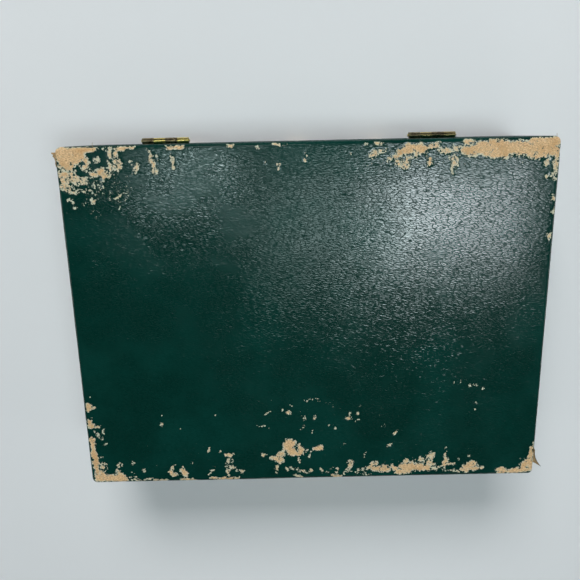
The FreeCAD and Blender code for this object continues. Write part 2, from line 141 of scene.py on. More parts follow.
REAR_RIGHT_WEAR = [
    (33, 93, 37, 93, 0.6, 0.9), (31, 88, 33, 89, 1.4, 1.0), (36, 89, 38, 89, 0.9, 0.75),
    (41, 86, 45, 86, 1.0, 1.0), (40, 84, 40, 82, 0.4, 0.65), (45, 84, 46, 83, 1.2, 0.9),
    (49, 84, 48, 82, 1.8, 1.0), (50, 86, 49, 85, 1.3, 0.9), (46, 88, 49, 90, 1.6, 1.1),
    (49, 90, 58, 90, 2.1, 1.25), (56, 93, 57, 92, 0.8, 1.0), (54, 87, 55, 87, 1.2, 1.0),
    (58, 91, 65, 92, 1.0, 1.0), (61, 85, 61, 82, 1.2, 1.1), (60, 88, 61, 86, 0.5, 0.7),
    (66, 89, 70, 88, 1.5, 1.0), (72, 85, 74, 86, 1.4, 0.95), (74, 84, 73, 80, 1.4, 0.95),
    (73, 78, 73, 77, 0.6, 0.9), (73, 90, 76, 90, 1.2, 0.9), (79, 93, 82, 93, 1.2, 1.1),
    (79, 89, 90, 89, 2.5, 1.25), (86, 91, 110, 91, 2.5, 1.25), (94, 87, 99, 87, 2.3, 1.25),
    (91, 94, 97, 94, 0.8, 1.1), (100, 89, 122, 89, 2.6, 1.3), (112, 86, 119, 86, 1.7, 1.2),
    (114, 93, 125, 92, 2.4, 1.3), (122, 88, 126, 87, 2.6, 1.2), (121, 83, 121, 81, 1.0, 0.95),
    (125, 85, 126, 80, 1.2, 0.95), (125, 79, 125, 76, 0.9, 0.85), (122, 76, 121, 75, 0.8, 0.8),
    (124, 75, 125, 73, 0.6, 0.75), (125, 65, 126, 63, 0.9, 1.0), (126, 59, 126, 56, 0.6, 0.85),
    (125, 46, 126, 46, 0.5, 0.9), (125, 44, 125, 43, 0.9, 1.1),
]
LEFT_WEAR = [
    (-125, -40, -125, -41, 0.5, 0.8), (-126, -46, -126, -49, 1.3, 1.2),
    (-125, -48, -123, -48, 0.8, 1.0), (-125, -54, -125, -54, 0.5, 0.9),
    (-126, -57, -125, -59, 1.6, 1.2), (-124, -60, -121, -60, 0.6, 1.0),
    (-124, -63, -124, -63, 0.8, 0.8), (-122, -64, -120, -67, 0.7, 0.75),
    (-118, -62, -119, -64, 0.6, 0.7), (-120, -71, -118, -71, 0.5, 0.85),
    (-126, -67, -125, -92, 1.4, 1.3), (-122, -79, -121, -79, 0.6, 0.9),
    (-122, -82, -122, -85, 0.8, 0.95), (-120, -84, -120, -86, 0.5, 0.8),
    (-122, -88, -122, -90, 1.4, 1.2),
]
FRONT_LEFT_WEAR = [
    (-125, -92, -110, -93, 2.1, 1.3), (-113, -88, -112, -90, 1.3, 1.1),
    (-112, -84, -111, -84, 1.0, 1.0), (-107, -92, -102, -92, 0.4, 0.85),
    (-98, -88, -97, -87, 0.7, 0.95), (-104, -82, -104, -84, 0.4, 0.7), (-105, -88, -104, -90, 0.4, 0.6),
    (-110, -94, -92, -94, 0.5, 0.9), (-92, -94, -85, -94, 0.8, 1.2), (-81, -85, -81, -87, 0.7, 1.1),
    (-82, -89, -81, -91, 1.4, 1.2), (-75, -85, -75, -87, 0.7, 1.1), (-76, -89, -74, -90, 1.7, 1.2),
    (-73, -91, -73, -93, 0.5, 1.0), (-77, -94, -68, -94, 0.7, 1.1), (-59, -94, -44, -94, 0.8, 1.2),
    (-50, -79, -48, -79, 1.2, 1.1), (-49, -82, -49, -84, 0.9, 0.9), (-46, -82, -46, -84, 0.4, 0.8),
    (-50, -86, -49, -92, 0.6, 1.0), (-48, -87, -46, -87, 0.8, 0.95), (-44, -89, -41, -90, 1.0, 0.95),
    (-61, -77, -60, -75, 0.5, 1.0), (-57, -87, -61, -91, 0.6, 0.6), (-54, -77, -53, -77, 0.4, 0.7),
    (-70, -84, -70, -83, 0.4, 0.8), (-86, -58, -85, -58, 0.7, 0.95), (-85, -54, -85, -55, 0.3, 0.6),
    (-55, -54, -55, -54, 0.4, 0.7), (-75, -62, -75, -62, 0.4, 0.6),
]
FRONT_MIDDLE_WEAR = [
    (-15, -73, -13, -73, 2.4, 1.3), (-15, -76, -12, -77, 1.8, 1.3), (-12, -78, -8, -79, 1.7, 1.2),
    (-8, -75, -7, -77, 1.4, 1.2), (-19, -79, -17, -79, 1.4, 1.1), (-24, -82, -20, -83, 1.2, 1.2),
    (-20, -81, -19, -83, 1.4, 1.2), (-20, -85, -20, -87, 0.5, 0.9), (-21, -87, -21, -91, 0.8, 1.0),
    (-9, -81, -8, -85, 0.4, 0.95), (-4, -77, -4, -77, 0.8, 1.0), (-2, -81, -1, -78, 0.6, 0.75),
    (1, -76, 4, -75, 1.2, 1.2), (-15, -88, -15, -90, 0.6, 1.0), (-13, -88, -9, -90, 0.5, 0.95),
    (-8, -91, -5, -91, 0.7, 1.0), (-2, -90, -2, -90, 1.1, 1.0), (4, -89, 5, -91, 0.7, 1.0),
    (8, -91, 9, -91, 0.6, 0.9), (11, -90, 10, -91, 0.5, 0.95), (14, -89, 13, -91, 0.7, 0.95),
    (-11, -93, -7, -94, 0.6, 1.1), (12, -94, 16, -94, 1.0, 1.2), (18, -93, 18, -92, 0.6, 0.95),
    (22, -85, 21, -88, 1.1, 1.0), (21, -88, 20, -91, 1.0, 0.9), (20, -91, 33, -94, 0.3, 0.6),
    (26, -90, 27, -91, 0.7, 0.9), (29, -89, 29, -93, 0.8, 0.85), (-29, -80, -28, -80, 0.9, 1.1),
    (-26, -54, -24, -53, 0.5, 1.0), (-17, -51, -17, -52, 0.4, 0.9), (-14, -54, -13, -53, 0.9, 1.2),
    (-12, -49, -12, -48, 0.4, 0.7), (-7, -56, -6, -56, 0.4, 0.7), (-4, -56, -4, -58, 0.4, 0.75),
    (1, -56, 1, -57, 0.8, 1.0), (-6, -63, -6, -63, 0.7, 1.0), (0, -66, 0, -65, 0.4, 0.65),
    (9, -61, 10, -61, 0.4, 0.7), (13, -62, 13, -64, 0.5, 0.75), (19, -58, 21, -57, 0.9, 1.2),
    (21, -56, 22, -55, 0.5, 1.0), (25, -55, 26, -54, 0.5, 1.0), (26, -58, 25, -59, 0.5, 0.9),
    (26, -50, 26, -50, 0.4, 0.7), (40, -62, 40, -63, 0.4, 0.7), (46, -68, 48, -67, 0.6, 1.1),
    (43, -76, 44, -75, 0.6, 1.0), (18, -74, 18, -74, 0.4, 0.7), (29, -82, 31, -80, 0.4, 0.8),
    (-5, -46, 4, -46, 0.5, 0.5), (8, -47, 12, -50, 0.3, 0.44), (-32, -60, -25, -62, 0.4, 0.46),
    (75, -35, 96, -41, 0.35, 0.44),
]
FRONT_RIGHT_WEAR = [
    (32, -89, 35, -89, 1.1, 1.2), (34, -87, 36, -86, 0.9, 1.1), (35, -90, 42, -90, 1.7, 1.25),
    (40, -88, 43, -88, 1.0, 1.1), (46, -89, 47, -90, 1.4, 1.2), (48, -92, 56, -92, 1.0, 1.2),
    (52, -89, 65, -90, 2.2, 1.3), (54, -85, 54, -86, 1.0, 1.1), (57, -87, 59, -88, 1.0, 1.1),
    (59, -85, 59, -86, 0.4, 0.8), (62, -85, 65, -84, 1.2, 0.95), (66, -82, 68, -81, 1.0, 1.0),
    (69, -81, 69, -84, 0.8, 1.0), (66, -86, 68, -87, 1.6, 1.1), (66, -83, 67, -84, 0.9, 0.85),
    (68, -91, 71, -91, 0.8, 0.9), (71, -89, 73, -89, 0.6, 0.9), (76, -80, 76, -84, 0.6, 1.1),
    (76, -85, 76, -88, 1.3, 1.2), (78, -88, 81, -88, 0.8, 1.0), (75, -90, 76, -92, 0.7, 0.8),
    (76, -77, 77, -77, 0.5, 0.9), (84, -86, 84, -85, 0.5, 0.85), (79, -92, 84, -92, 0.5, 0.9),
    (86, -91, 90, -92, 1.3, 1.2), (88, -89, 93, -88, 1.4, 1.2), (90, -90, 95, -91, 1.6, 1.25),
    (96, -91, 98, -91, 1.0, 1.1), (89, -83, 89, -83, 0.6, 0.9), (107, -92, 110, -92, 1.1, 1.2),
    (108, -94, 117, -94, 1.0, 1.25), (116, -93, 124, -93, 1.6, 1.3), (121, -91, 124, -87, 1.8, 1.3),
    (124, -87, 125, -79, 1.1, 1.25), (126, -79, 126, -76, 0.6, 1.0), (126, -92, 126, -82, 1.3, 1.25),
    (119, -85, 121, -85, 0.4, 0.65), (92, -49, 92, -50, 0.5, 0.9), (92, -53, 92, -54, 0.5, 0.9),
    (71, -40, 72, -40, 0.4, 0.6), (14, -24, 15, -24, 0.4, 0.6), (-7, -27, -6, -27, 0.4, 0.6),
]
FACE_WEAR = (REAR_LEFT_WEAR + REAR_MIDDLE_WEAR + REAR_RIGHT_WEAR + LEFT_WEAR
             + FRONT_LEFT_WEAR + FRONT_MIDDLE_WEAR + FRONT_RIGHT_WEAR)
# Rubbed zones, which lose only fine flecks.
RUBBED = [(-30, -52, 50, -60, 13, 0.16), (-100, -78, 90, -84, 9, 0.16), (-118, 80, -98, 74, 9, 0.2),
          (30, 84, 110, 86, 5, 0.18)]
# How wide a stroke's soft border is, in millimetres, unless the stroke itself is narrower.
FALL = 1.8
# The strokes are laid out on a face a little larger than the lid's, and off its centre.
LAYOUT_SCALE = 1.008
LAYOUT_SHIFT = (0.6 * MM, 0.2 * MM)
# Their outlines wander by up to half of RAGGED_REACH.
RAGGED_PITCH, RAGGED_REACH = 2.8 * MM, 3.0 * MM


def stroke_field(points, strokes):
    """The deepest wear of the strokes at each point, with ragged outlines."""
    ragged = [(layered_noise(points, RAGGED_PITCH, seed, 2) - 0.5) * RAGGED_REACH for seed in (71, 83)]
    x, y = [(points[:, i] - LAYOUT_SHIFT[i]) * LAYOUT_SCALE + ragged[i] for i in (0, 1)]
    worn = np.zeros(len(points))
    for x0, y0, x1, y1, half, depth in strokes:
        ax, ay, bx, by = x0 * MM, y0 * MM, x1 * MM, y1 * MM
        length = max((bx - ax) ** 2 + (by - ay) ** 2, 1e-12)
        along = np.clip(((x - ax) * (bx - ax) + (y - ay) * (by - ay)) / length, 0, 1)
        away = np.hypot(x - ax - along * (bx - ax), y - ay - along * (by - ay)) / MM
        fall = min(half, FALL)
        worn = np.maximum(worn, depth * (1 - ramp(half - 0.5 * fall, half + 0.7 * fall, away)))
    return worn


def edge_field(points, low, high, seed, strength):
    """Wear along the edges and corners of a box, patchy along their length, from 0 to strength."""
    patch_pitch, ragged_pitch = 26 * MM, 4 * MM
    least_reach, more_reach, corner_reach = 0.5 * MM, 4.5 * MM, 13 * MM
    to_x = np.minimum(points[:, 0] - low[0], high[0] - points[:, 0])
    to_y = np.minimum(points[:, 1] - low[1], high[1] - points[:, 1])
    to_z = np.minimum(points[:, 2] - low[2], high[2] - points[:, 2])
    near = np.sort(np.stack([to_x, to_y, to_z]), axis=0)
    patches = layered_noise(points, patch_pitch, seed)
    reach = least_reach + more_reach * ramp(0.45, 0.75, patches)
    edge = 1 - ramp(0.25, 1.0, near[1] / reach)
    corner = 1 - ramp(0.35, 1.0, near[2] / corner_reach)
    field = np.maximum(edge * (0.45 + 0.55 * patches), 0.95 * corner * edge + 0.62 * corner)
    ragged = layered_noise(points, ragged_pitch, seed + 5, 2) - 0.5
    return strength * ramp(0.45, 0.85, field + 0.8 * ragged * (field > 0))


# ---------------------------------------------------------------- the covering as a shell
def grid_lines(*bands):
    """Grid lines along one axis: each band is where it starts, where it ends and the step in it."""
    lines = [np.linspace(start, end, max(1, round((end - start) / step)), endpoint=False)
             for start, end, step in bands]
    return np.concatenate([*lines, [bands[-1][1]]])


def round_corners(x, y, half_x, half_y, radius):
    """Moves points of a rectangle so that its corners become round."""
    a = (np.abs(x) - (half_x - radius)) / radius
    b = (np.abs(y) - (half_y - radius)) / radius
    inside = (a > 0) & (b > 0)
    a, b = np.clip(a, 0, 1), np.clip(b, 0, 1)
    round_x = (half_x - radius) + radius * a * np.sqrt(1 - b * b / 2)
    round_y = (half_y - radius) + radius * b * np.sqrt(1 - a * a / 2)
    return np.where(inside, np.sign(x) * round_x, x), np.where(inside, np.sign(y) * round_y, y)


def set_wear(mesh, worn):
    """Stores the wear of each vertex, which the material reads."""
    attribute = mesh.attributes.new("wear", "FLOAT", "POINT")
    attribute.data.foreach_set("value", worn.astype(np.float32))


def shell_mesh(name, face_z, rim_z, lines_x, lines_y, wear_of):
    """A five-sided cover: a face at face_z, round edges, four sides and a rounded rim, closed inside."""
    way = 1 if face_z > rim_z else -1
    nx, ny = len(lines_x), len(lines_y)
    grid_x, grid_y = (g.ravel() for g in np.meshgrid(lines_x, lines_y, indexing="ij"))
    flat_x, flat_y = round_corners(grid_x, grid_y, HALF_X - EDGE, HALF_Y - EDGE, CORNER - EDGE)
    points = [np.stack([flat_x, flat_y, np.full(nx * ny, face_z)], axis=1)]
    normals = [np.tile([0.0, 0.0, way], (nx * ny, 1))]

    border = [i * ny for i in range(nx)] + [(nx - 1) * ny + j for j in range(1, ny)]
    border += [i * ny + ny - 1 for i in range(nx - 2, -1, -1)] + list(range(ny - 2, 0, -1))
    border_x, border_y = grid_x[border], grid_y[border]
    count = len(border)

    def ring(inset, drop, tilt):
        """One loop: inset from the outside, drop below the face, tilt of its normal from the face's."""
        half_x, half_y = HALF_X - inset, HALF_Y - inset
        x, y = round_corners(border_x * half_x / (HALF_X - EDGE), border_y * half_y / (HALF_Y - EDGE),
                             half_x, half_y, max(CORNER - inset, 0.3 * MM))
        out_x = np.where(np.abs(x) > half_x - CORNER, x - np.sign(x) * (half_x - CORNER), 0)
        out_y = np.where(np.abs(y) > half_y - CORNER, y - np.sign(y) * (half_y - CORNER), 0)
        length = np.maximum(np.hypot(out_x, out_y), 1e-9)
        side = math.sin(tilt)
        points.append(np.stack([x, y, np.full(count, face_z - way * drop)], axis=1))
        normals.append(np.stack([side * out_x / length, side * out_y / length,
                                 np.full(count, way * math.cos(tilt))], axis=1))

    bends = 5
    for i in range(1, bends + 1):
        angle = math.pi / 2 * i / bends
        ring(EDGE * (1 - math.sin(angle)), EDGE * (1 - math.cos(angle)), angle)
    height = abs(face_z - rim_z)
    drops = np.linspace(EDGE, height - CLOTH_EDGE, round(height / SIDE_STEP))[1:]
    for drop in drops:
        ring(0, drop, math.pi / 2)
    ring(CLOTH_EDGE, height, 0.8 * math.pi)
    outside_rings = bends + len(drops) + 1
    ring(CLOTH, height, math.pi)
    ring(CLOTH, CLOTH, 0)

    place = np.concatenate(points)
    normal = np.concatenate(normals)
    outside = nx * ny + outside_rings * count
    worn = np.zeros(len(place))
    worn[:outside] = wear_of(place[:outside])
    swell = (layered_noise(place, SWELL_PITCH, seed=5) - 0.5) * SWELL_HEIGHT
    rough = (layered_noise(place, FRAY_PITCH, seed=9) - 0.5) * FRAY_HEIGHT * ramp(0.3, 0.8, worn)
    shift = swell + rough - SCUFF_DEPTH * ramp(0.45, 0.65, worn)
    shift[outside:] = 0
    place = place + normal * shift[:, None]

    faces = [(i * ny + j, (i + 1) * ny + j, (i + 1) * ny + j + 1, i * ny + j + 1)
             for i in range(nx - 1) for j in range(ny - 1)]
    loops = [border] + [[nx * ny + k * count + i for i in range(count)] for k in range(outside_rings + 2)]
    for upper, lower in zip(loops, loops[1:]):
        for i in range(count):
            after = (i + 1) % count
            faces.append((upper[after], upper[i], lower[i], lower[after]))
    faces.append(tuple(loops[-1][::-1]))
    if way < 0:
        faces = [face[::-1] for face in faces]
    mesh = bpy.data.meshes.new(name)
    mesh.from_pydata(place.tolist(), [], faces)
    set_wear(mesh, worn)
    mesh.polygons.foreach_set("use_smooth", [True] * len(mesh.polygons))
    mesh.polygons[len(mesh.polygons) - 1].use_smooth = False
    mesh.update()
    return mesh


def lid_wear(points):
    """The face's strokes, a thin worn line down the left rim, and worn edges and corners below the face."""
    low = (-HALF_X, -HALF_Y, LID_LOW.z - RIM_MARGIN)
    high = (HALF_X, HALF_Y, TOP_Z)
    x, y, z = points.T
    face = np.maximum(stroke_field(points, FACE_WEAR), stroke_field(points, RUBBED))
    down = ramp(0.9 * MM, 3.5 * MM, TOP_Z - z)
    edges = edge_field(points, low, high, seed=21, strength=1.1)

    # Just below the face, the rear and the sides keep most of their green between the corners.
    mid_x = 1 - ramp(HALF_X - 7 * MM, HALF_X - 3 * MM, np.abs(x))
    mid_y = 1 - ramp(HALF_Y - 10.5 * MM, HALF_Y - 5.5 * MM, np.abs(y))
    fold = ramp(0.2 * MM, 0.5 * MM, TOP_Z - z) * np.maximum(mid_x * (y > 0), mid_y)
    face *= 1 - 0.8 * fold

    # The worn line runs along the left side, just below the face.
    line_drop, line_middle, line_half = 1.8 * MM, 5 * MM, 70 * MM
    rim = x < -HALF_X + 0.7 * MM
    rim_line = 0.85 * rim * (1 - ramp(0.4 * MM, 1.6 * MM, np.abs(z - TOP_Z + line_drop)))
    rim_line *= ramp(-line_half - 5 * MM, -line_half, -np.abs(y - line_middle))
    rim_line *= layered_noise(points, 9 * MM, seed=57) * 1.7
    return np.maximum(np.maximum(face * (1 - 0.5 * down), rim_line), edges * down)


def base_wear(points):
    """Worn lower edges and corners, and a few scuffs on the sides."""
    low = (-HALF_X, -HALF_Y, FLOOR_Z)
    high = (HALF_X, HALF_Y, BASE_HIGH.z + RIM_MARGIN)
    scuffs = layered_noise(points, 16 * MM, seed=43) + 0.5 * layered_noise(points, 4 * MM, seed=47, layers=2)
    edges = edge_field(points, low, high, seed=37, strength=1.15)
    return np.maximum(edges, ramp(1.03, 1.10, scuffs))


def add_object(name, mesh, material=None):
    piece = bpy.data.objects.new(name, mesh)
    bpy.context.scene.collection.objects.link(piece)
    if material is not None:
        mesh.materials.append(material)
    return piece


# ---------------------------------------------------------------- node helpers
class Nodes:
    """A new material with a Principled shader, and short calls to add and join its nodes."""

    def __init__(self, name):
        self.material = bpy.data.materials.new(name)
        self.material.use_nodes = True
        self.tree = self.material.node_tree
        self.shader = self.tree.nodes["Principled BSDF"]
        self.coords = self.add("ShaderNodeTexCoord").outputs["Object"]

    def add(self, kind, **values):
        node = self.tree.nodes.new(kind)
        for key, value in values.items():
            setattr(node, key, value)
        return node

    def put(self, socket, value):
        """Joins a socket to another, or sets its value."""
        if isinstance(value, bpy.types.NodeSocket):
            self.tree.links.new(value, socket)
        else:
            socket.default_value = value

    def math(self, operation, a, b=0.0, clamp=False):
        node = self.add("ShaderNodeMath", operation=operation, use_clamp=clamp)
        self.put(node.inputs[0], a)
        self.put(node.inputs[1], b)
        return node.outputs[0]

    def noise(self, scale, detail=3.0, roughness=0.5, vector=None, distortion=0.0):
        node = self.add("ShaderNodeTexNoise")
        self.put(node.inputs["Vector"], vector if vector is not None else self.coords)
        node.inputs["Scale"].default_value = scale
        node.inputs["Detail"].default_value = detail
        node.inputs["Roughness"].default_value = roughness
        node.inputs["Distortion"].default_value = distortion
        return node.outputs["Fac"]

    def cells(self, scale, vector=None, feature="F1", output="Distance"):
        node = self.add("ShaderNodeTexVoronoi", feature=feature)
        self.put(node.inputs["Vector"], vector if vector is not None else self.coords)
        node.inputs["Scale"].default_value = scale
        return node.outputs[output]

    def ramp(self, value, low, high, to_low=0.0, to_high=1.0):
        node = self.add("ShaderNodeMapRange", interpolation_type="SMOOTHSTEP")
        self.put(node.inputs["Value"], value)
        for name, number in (("From Min", low), ("From Max", high), ("To Min", to_low), ("To Max", to_high)):
            node.inputs[name].default_value = number
        return node.outputs["Result"]

    def blend(self, factor, a, b):
        """Mixes two colours."""
        node = self.add("ShaderNodeMix", data_type="RGBA")
        self.put(node.inputs[0], factor)
        for socket, value in ((node.inputs[6], a), (node.inputs[7], b)):
            self.put(socket, value if isinstance(value, bpy.types.NodeSocket) else (*value, 1.0))
        return node.outputs[2]

    def stretch(self, x, y, z, vector=None):
        node = self.add("ShaderNodeMapping")
        self.put(node.inputs["Vector"], self.coords if vector is None else vector)
        node.inputs["Scale"].default_value = (x, y, z)
        return node.outputs["Vector"]

    def axis(self, vector, name):
        split = self.add("ShaderNodeSeparateXYZ")
        self.put(split.inputs[0], vector)
        return split.outputs[name]

    def bump(self, height, distance, strength=1.0, normal=None):
        node = self.add("ShaderNodeBump")
        self.put(node.inputs["Height"], height)
        node.inputs["Distance"].default_value = distance
        self.put(node.inputs["Strength"], strength)
        if normal is not None:
            self.put(node.inputs["Normal"], normal)
        return node.outputs["Normal"]

    def set(self, **sockets):
        for name, value in sockets.items():
            self.put(self.shader.inputs[name.replace("_", " ")], value)
        return self.material


# ---------------------------------------------------------------- materials
def leather_space(n):
    """Coordinates in which the leather's cells are even: turned a little, drawn out along X and warped."""
    warp = n.add("ShaderNodeTexNoise")
    n.put(warp.inputs["Vector"], n.coords)
    warp.inputs["Scale"].default_value = 230
    turned = n.add("ShaderNodeVectorRotate", rotation_type="Z_AXIS")
    n.put(turned.inputs["Vector"], n.coords)
    turned.inputs["Angle"].default_value = math.radians(13)
    shifted = n.add("ShaderNodeVectorMath", operation="MULTIPLY_ADD")
    n.put(shifted.inputs[0], warp.outputs["Color"])
    shifted.inputs[1].default_value = (0.0003, 0.0014, 0.0008)
    n.put(shifted.inputs[2], n.stretch(0.26, 1.0, 0.9, turned.outputs[0]))
    return shifted.outputs[0]


def wear_level(n, worn, creases):
    """The wear of each speck: the wear map, broken up by grains of three sizes where anything is worn."""
    specks = n.math("SUBTRACT", n.cells(1250, output="Color"), 0.5)
    fine = n.math("MULTIPLY", n.math("SUBTRACT", n.noise(1700, 3, 0.65), 0.5), 2.4)
    broad = n.math("MULTIPLY", n.math("SUBTRACT", n.noise(700, 2, 0.5), 0.5), 3.4)
    high_spots = n.math("MULTIPLY", n.math("SUBTRACT", n.ramp(creases, 0.0, 0.3), 0.6), 0.3)
    breaks = n.math("ADD", n.math("ADD", n.math("ADD", specks, fine), broad), high_spots)
    breaks = n.math("MULTIPLY", breaks, n.ramp(worn, 0.06, 0.35))
    breaks = n.math("MULTIPLY", breaks, n.ramp(worn, 0.9, 1.3, 1.0, 0.62))
    return n.math("ADD", n.math("MULTIPLY", worn, 0.86), breaks)


def green_coat(n, creases, worn, scuffed):
    """The coat's colour: uneven green, with painted shade darkening it along the grain's creases, paler where
    it is scuffed.
    """
    tint = n.noise(26, 4, 0.6)
    green = n.blend(n.ramp(tint, 0.35, 0.7), (0.0008, 0.0250, 0.0185), (0.0020, 0.0375, 0.0290))
    # Painted shade: the green darkens towards each crease line of the grain, where its hollows fall in shade.
    green = n.blend(n.ramp(creases, 0.0, 0.14, 0.35, 0.0), green, (0.0005, 0.014, 0.011))
    streaks = n.noise(60, 5, 0.75, n.stretch(1.0, 9.0, 9.0))
    green = n.blend(n.ramp(streaks, 0.62, 0.78, 0.0, 0.25), green, (0.008, 0.052, 0.042))
    pale = n.math("MULTIPLY", scuffed, n.math("MULTIPLY", worn, 1.1, True))
    return n.blend(pale, green, (0.060, 0.095, 0.075))


def bared_tan(n, fibres, worn, level):
    """The backing's colour: fibrous and stained, and greyer where only a thin film of it is bare."""
    tan = n.blend(n.ramp(fibres, 0.36, 0.66), (0.38, 0.235, 0.105), (0.86, 0.60, 0.345))
    tan = n.blend(n.ramp(n.noise(110, 4, 0.6), 0.48, 0.66, 0.0, 0.55), tan, (0.50, 0.285, 0.115))
    depth = n.math("ADD", n.math("MULTIPLY", worn, 0.6), n.math("MULTIPLY", level, 0.4))
    return n.blend(n.ramp(depth, 1.16, 0.70, 0.0, 0.95), tan, (0.54, 0.55, 0.42))


def worn_leatherette():
    """Dark green long-grained paper with a semi-gloss coat, worn through to tan where "wear" is high."""
    n = Nodes("worn_leatherette")
    space = leather_space(n)
    creases = n.cells(1180, space, "DISTANCE_TO_EDGE")
    ridges = n.math("ABSOLUTE", n.math("SUBTRACT", n.noise(1000, 1.0, 0.4, space), 0.5))
    pressed = n.ramp(n.noise(13, 3, 0.55), 0.34, 0.62, 0.55, 1.0)

    worn = n.add("ShaderNodeAttribute", attribute_name="wear").outputs["Fac"]
    level = wear_level(n, worn, creases)
    bare = n.ramp(level, 0.49, 0.55)
    scuffed = n.ramp(level, 0.28, 0.50)
    fibres = n.noise(1000, 5, 0.7, n.stretch(1.0, 2.6, 2.6))
    colour = n.blend(bare, green_coat(n, creases, worn, scuffed), bared_tan(n, fibres, worn, level))

    pebbles = n.ramp(creases, 0.0, 0.40)
    grain = n.math("ADD", n.math("MULTIPLY", pebbles, 0.20), n.math("MULTIPLY", ridges, 1.5))
    grain = n.math("ADD", grain, n.math("MULTIPLY", n.noise(2800, 2, 0.5), 0.03))
    grain_normal = n.bump(grain, 0.00008, pressed)
    normal = n.add("ShaderNodeMix", data_type="VECTOR")
    n.put(normal.inputs[0], bare)
    n.put(normal.inputs[4], n.bump(n.math("MULTIPLY", bare, -1.0), 0.00016, 0.8, grain_normal))
    n.put(normal.inputs[5], n.bump(fibres, 0.00010, 0.5))

    # The coat shines on the grain's crowns, less in its creases, and less where it turns down over the edges.
    folded = n.ramp(n.axis(n.add("ShaderNodeNewGeometry").outputs["Normal"], "Z"), 0.97, 0.6)
    rough = n.math("ADD", n.ramp(n.noise(38, 3, 0.6), 0.3, 0.7, 0.13, 0.18), n.math("MULTIPLY", folded, 0.35))
    rough = n.math("ADD", rough, n.ramp(creases, 0.0, 0.10, 0.12, 0.0))
    rough = n.math("ADD", rough, n.math("MULTIPLY", bare, 0.6), True)
    shine = n.math("MULTIPLY", n.ramp(creases, 0.0, 0.16, 0.03, 0.52), n.ramp(ridges, 0.0, 0.06, 0.78, 1.05))
    shine = n.math("MULTIPLY", shine, n.ramp(folded, 0.0, 1.0, 1.0, 0.45))
    shine = n.math("MULTIPLY", shine, n.ramp(pressed, 0.55, 1.0, 1.25, 0.95))
    return n.set(Base_Color=colour, Roughness=rough, Specular_IOR_Level=shine, Normal=normal.outputs[1])


def torn_backing_painted_shade():
    """The raw underside of a peeled flap, its tan darkened as painted shade."""
    n = Nodes("torn_backing_painted_shade")
    fibres = n.noise(1100, 5, 0.7, n.stretch(1.0, 2.2, 2.2))
    # Painted shade: both tans are darker than the bared backing's, standing in for the shade on the curled
    # flaps and the loose fibres.
    tan = n.blend(n.ramp(fibres, 0.3, 0.7), (0.22, 0.140, 0.060), (0.42, 0.29, 0.150))
    return n.set(Base_Color=tan, Roughness=0.9, Normal=n.bump(fibres, 0.00015, 0.7))


def aged_brass(name, bright, dull, clean):
    """Brass with brown tarnish; clean is how much of it is still bright, from 0 to 1."""
    n = Nodes(name)
    blotches = n.noise(420, 4, 0.65)
    fine = n.noise(2600, 3, 0.6)
    stain = n.math("ADD", blotches, n.math("MULTIPLY", fine, 0.25))
    tarnish = n.ramp(stain, 0.78 - 0.3 * clean, 0.50 - 0.3 * clean)
    metal = n.blend(tarnish, bright, dull)
    scratches = n.noise(900, 4, 0.7, n.stretch(0.15, 1.0, 1.0))
    rough = n.math("ADD", n.ramp(scratches, 0.3, 0.7, 0.22, 0.38), n.math("MULTIPLY", tarnish, 0.25))
    height = n.math("ADD", n.math("MULTIPLY", scratches, 0.4), blotches)
    return n.set(Base_Color=metal, Roughness=rough, Metallic=1.0, Normal=n.bump(height, 0.00006, 0.6))


def filed_steel():
    """Plain steel with file lines along X and a few rusty spots."""
    n = Nodes("filed_steel")
    lines = n.noise(1400, 3, 0.6, n.stretch(0.06, 1.0, 1.0))
    colour = n.blend(n.ramp(n.noise(300, 4, 0.6), 0.5, 0.75), (0.42, 0.41, 0.39), (0.22, 0.17, 0.12))
    return n.set(Base_Color=colour, Roughness=n.ramp(lines, 0.3, 0.7, 0.3, 0.5), Metallic=1.0,
                 Normal=n.bump(lines, 0.00005, 0.5))


def wood(name, pale, dark, along_y=False):
    """Planed softwood with its grain along X, or along Y."""
    n = Nodes(name)
    run = n.stretch(4.0, 0.35, 4.0) if along_y else n.stretch(0.35, 4.0, 4.0)
    bands = n.noise(40, 4, 0.55, run, 0.6)
    rings = n.math("PINGPONG", n.math("MULTIPLY", bands, 9.0), 1.0)
    pores = n.noise(520, 4, 0.7, n.stretch(3.0, 0.12, 3.0) if along_y else n.stretch(0.12, 3.0, 3.0))
    colour = n.blend(n.ramp(rings, 0.1, 0.95), pale, dark)
    colour = n.blend(n.ramp(pores, 0.56, 0.74, 0.0, 0.55), colour, tuple(0.45 * c for c in dark))
    stains = n.ramp(n.noise(22, 4, 0.6), 0.52, 0.75, 0.0, 0.4)
    colour = n.blend(stains, colour, tuple(0.55 * c for c in dark))
    height = n.math("ADD", n.math("MULTIPLY", pores, -1.0), n.math("MULTIPLY", rings, 0.25))
    rough = n.ramp(rings, 0.0, 1.0, 0.5, 0.68)
    return n.set(Base_Color=colour, Roughness=rough, Normal=n.bump(height, 0.00012, 0.6))


def lining_paper():
    """Cream laid paper with faint lines, foxing and grubby patches."""
    n = Nodes("lining_paper")
    wave = n.add("ShaderNodeTexWave", wave_type="BANDS", bands_direction="X")
    n.put(wave.inputs["Vector"], n.coords)
    wave.inputs["Scale"].default_value = 260
    wave.inputs["Distortion"].default_value = 0.8
    pulp = n.noise(700, 5, 0.7)
    colour = n.blend(n.ramp(pulp, 0.3, 0.7), (0.56, 0.46, 0.30), (0.67, 0.57, 0.40))
    foxing = n.ramp(n.cells(60), 0.10, 0.02, 0.0, 0.6)
    colour = n.blend(n.math("MULTIPLY", foxing, n.ramp(n.noise(30, 2), 0.5, 0.7)), colour, (0.33, 0.19, 0.08))
    grime = n.ramp(n.noise(12, 5, 0.65), 0.5, 0.8, 0.0, 0.45)
    colour = n.blend(grime, colour, (0.37, 0.28, 0.17))
    height = n.math("ADD", n.math("MULTIPLY", wave.outputs["Fac"], 0.5), pulp)
    return n.set(Base_Color=colour, Roughness=0.85, Normal=n.bump(height, 0.00008, 0.5))


